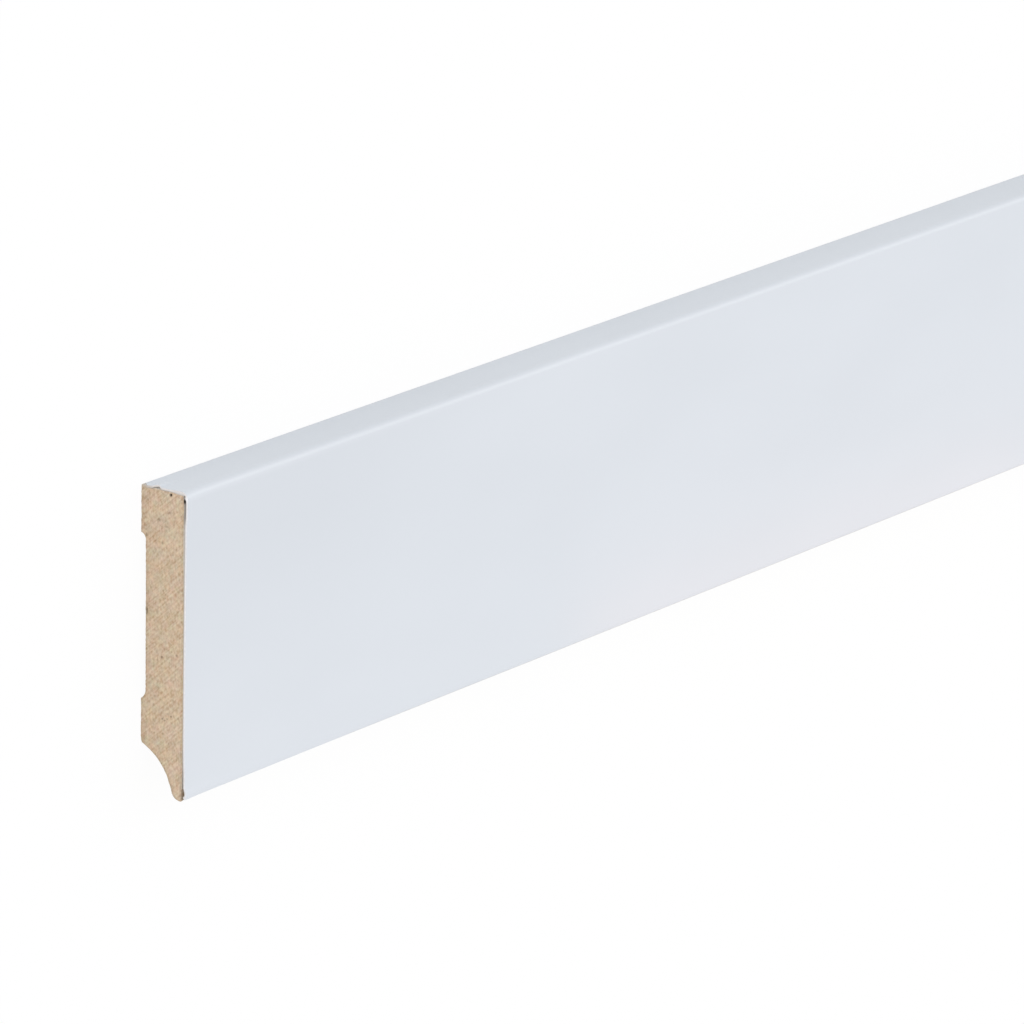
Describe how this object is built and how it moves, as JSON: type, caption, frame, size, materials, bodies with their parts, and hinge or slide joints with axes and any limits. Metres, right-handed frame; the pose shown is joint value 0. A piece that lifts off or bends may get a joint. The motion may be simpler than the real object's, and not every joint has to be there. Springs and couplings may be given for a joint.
{
  "type": "skirting board length",
  "caption": "Straight length of foil-wrapped skirting board with a plain square-topped face, a relieved back, a cable cove behind the toe and square sawn ends.",
  "frame": {"origin": "on the floor under the middle of the board, which lies on its back", "axes": "+X along the board, +Y towards the edge that is up when it stands on a wall, +Z out of the room face"},
  "size_m": [2.4, 0.08, 0.014],
  "materials": {
    "mdf": "raw medium density fibreboard, moulded on the wall side and sawn at the ends",
    "white_foil": "smooth white decor foil with a silk-matt finish"
  },
  "bodies": {
    "root": {"mdf_core": "mdf", "foil_wrap": "white_foil"}
  },
  "joints": []
}
